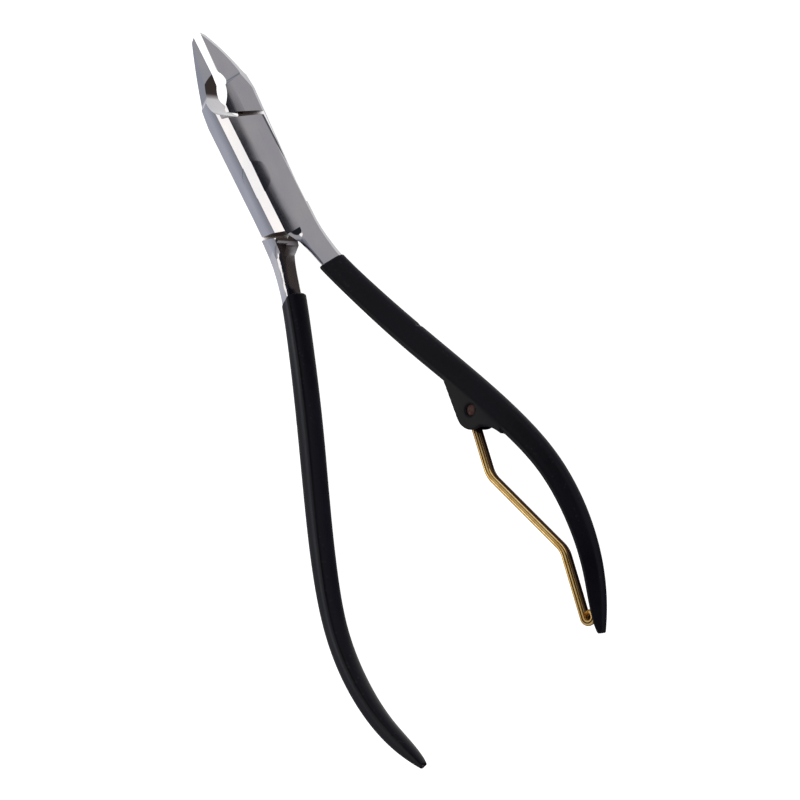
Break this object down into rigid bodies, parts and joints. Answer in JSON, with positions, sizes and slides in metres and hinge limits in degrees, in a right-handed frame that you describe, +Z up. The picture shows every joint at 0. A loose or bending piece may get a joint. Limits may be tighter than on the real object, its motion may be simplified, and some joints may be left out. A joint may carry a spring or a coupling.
{
  "type": "cuticle nipper",
  "caption": "Hand nipper with two crossed steel arms on a riveted lap joint, short side-cutting jaws, coated bowed handles and a swing-away wire spring.",
  "frame": {"origin": "on the joint rivet's axis, at the flat land of the lower ridge that the tool lies on", "axes": "+Z up out of the upper face, +Y from the joint towards the jaw tips, +X towards the handle with the spring boss"},
  "size_m": [0.047, 0.1051, 0.0045],
  "materials": {
    "polished_steel": "satin-polished, finely ground",
    "black_coating": "satin black dipped vinyl",
    "brass_wire": "bright drawn, lightly tarnished",
    "pin_steel": "dull turned steel"
  },
  "bodies": {
    "boss_arm": {"upper_arm": "polished_steel", "upper_arm_coating": "black_coating", "joint_rivet": "polished_steel", "spring_pin": "pin_steel"},
    "plain_arm": {"lower_arm": "polished_steel", "lower_arm_coating": "black_coating"},
    "spring": {"wire_spring": "brass_wire"}
  },
  "joints": [
    {"name": "arm_pivot", "type": "hinge", "parent": "boss_arm", "child": "plain_arm", "pos_m": [0, 0, 0.00225], "axis": [0, 0, -1], "range_deg": [-3, 10]},
    {"name": "spring_swing", "type": "hinge", "parent": "boss_arm", "child": "spring", "pos_m": [0.0151, -0.0463, 0.00225], "axis": [0, 0, -1], "range_deg": [0, 66]}
  ]
}
